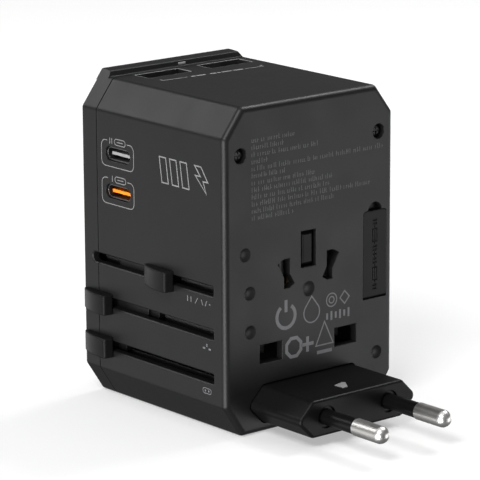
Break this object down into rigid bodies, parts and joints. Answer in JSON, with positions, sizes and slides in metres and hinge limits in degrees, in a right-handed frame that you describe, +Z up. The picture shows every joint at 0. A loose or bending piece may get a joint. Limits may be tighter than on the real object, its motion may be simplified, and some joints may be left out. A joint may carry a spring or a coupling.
{
  "type": "universal travel adapter",
  "caption": "Pocket travel plug adapter with sliding plugs for several regions, a universal socket behind and USB charging ports.",
  "frame": {"origin": "centre of the flat bottom that the adapter rests on", "axes": "+Z up, -Y out of the plug face, +Y out of the socket face, -X out of the side with the slider knobs"},
  "size_m": [0.0525, 0.088, 0.0768],
  "materials": {
    "shell": "fine satin moulded ABS, near black",
    "cover": "fine satin moulded ABS, near black",
    "slider": "satin moulded plastic, near black",
    "strip": "thin satin strip, dark grey",
    "plug_block": "satin moulded plastic, near black",
    "sleeve": "smooth black insulating sleeve",
    "nickel": "bright nickel plate, finely brushed",
    "screw_steel": "dark polished steel",
    "shell_steel": "tin-plated sheet steel",
    "brass": "stamped brass",
    "inner_plastic": "plain moulded PBT",
    "white_plastic": "plain moulded PBT, off white",
    "tongue_black": "glass-filled nylon",
    "tongue_grey": "glass-filled nylon, light grey",
    "tongue_orange": "glass-filled nylon, bright orange",
    "board": "solder-masked board, green",
    "chip": "moulded epoxy",
    "ferrite": "ferrite core with tape winding",
    "can": "sleeved aluminium can",
    "fuse_glass": "glass tube with metal caps",
    "lens": "translucent light pipe",
    "contact_gold": "gold-plated contact"
  },
  "bodies": {
    "housing": {"front_shell": "shell", "rear_cover": "cover", "face_screws": "screw_steel", "led_light_pipe": "lens", "blade_guide_left": "shell", "blade_guide_right": "shell", "socket_panel": "cover", "slot_liners": "inner_plastic", "lower_deck": "inner_plastic", "socket_wall": "inner_plastic", "upper_deck": "inner_plastic", "live_contact": "brass", "neutral_contact": "brass", "earth_contact": "brass", "live_bus": "brass", "neutral_bus": "brass", "detent_springs": "shell_steel", "fuse_door_pin": "shell_steel", "fuse_holder": "inner_plastic", "spare_fuse": "fuse_glass", "main_fuse": "fuse_glass", "usb_a_left": "shell_steel", "usb_a_right": "shell_steel", "usb_a_tongues": "tongue_black", "usb_a_contacts": "contact_gold", "usb_c_upper": "shell_steel", "usb_c_lower": "shell_steel", "usb_c_upper_tongue": "tongue_grey", "usb_c_lower_tongue": "tongue_orange", "usb_c_board": "board", "main_board": "board", "board_chips": "chip", "power_board": "board", "transformer": "ferrite", "capacitors": "can", "choke": "ferrite"},
    "us_aus_slider": {"us_knob": "slider", "us_carriage": "inner_plastic", "us_dust_strip": "strip"},
    "left_blade": {"us_blade_left": "nickel", "blade_pivot_left": "nickel"},
    "right_blade": {"us_blade_right": "nickel", "blade_pivot_right": "nickel"},
    "uk_slider": {"uk_knob": "slider", "uk_carriage": "inner_plastic", "uk_dust_strip": "strip", "uk_line_pins": "nickel", "uk_pin_sleeves": "sleeve", "uk_earth_pin": "plug_block"},
    "eu_knob_slider": {"eu_knob": "slider", "eu_carrier": "inner_plastic"},
    "eu_plug": {"eu_block": "plug_block", "eu_pin_left": "nickel", "eu_pin_right": "nickel", "eu_pin_sleeves": "sleeve"},
    "shutter": {"safety_shutter": "white_plastic", "shutter_springs": "shell_steel"},
    "fuse_flap": {"fuse_door": "plug_block"}
  },
  "joints": [
    {"name": "us_aus_slide", "type": "slide", "parent": "housing", "child": "us_aus_slider", "axis": [0, -1, 0], "range_m": [0, 0.01795]},
    {"name": "uk_slide", "type": "slide", "parent": "housing", "child": "uk_slider", "axis": [0, -1, 0], "range_m": [0, 0.02305]},
    {"name": "eu_knob_slide", "type": "slide", "parent": "housing", "child": "eu_knob_slider", "axis": [0, -1, 0], "range_m": [0, 0.0365]},
    {"name": "eu_plug_slide", "type": "slide", "parent": "housing", "child": "eu_plug", "axis": [0, 1, 0], "range_m": [0, 0.0365]},
    {"name": "shutter_slide", "type": "slide", "parent": "housing", "child": "shutter", "axis": [0, 0, -1], "range_m": [0, 0.0092], "stiffness_N_per_m": 40, "springref_m": -0.004},
    {"name": "left_blade_turn", "type": "hinge", "parent": "us_aus_slider", "child": "left_blade", "pos_m": [-0.00695, -0.00425, 0.0351], "axis": [0, -1, 0], "range_deg": [0, 30]},
    {"name": "right_blade_turn", "type": "hinge", "parent": "us_aus_slider", "child": "right_blade", "pos_m": [0.00575, -0.00425, 0.0351], "axis": [0, 1, 0], "range_deg": [0, 30]},
    {"name": "fuse_door_turn", "type": "hinge", "parent": "housing", "child": "fuse_flap", "pos_m": [0.0195, -0.02515, 0.0262], "axis": [1, 0, 0], "range_deg": [0, 85]}
  ]
}
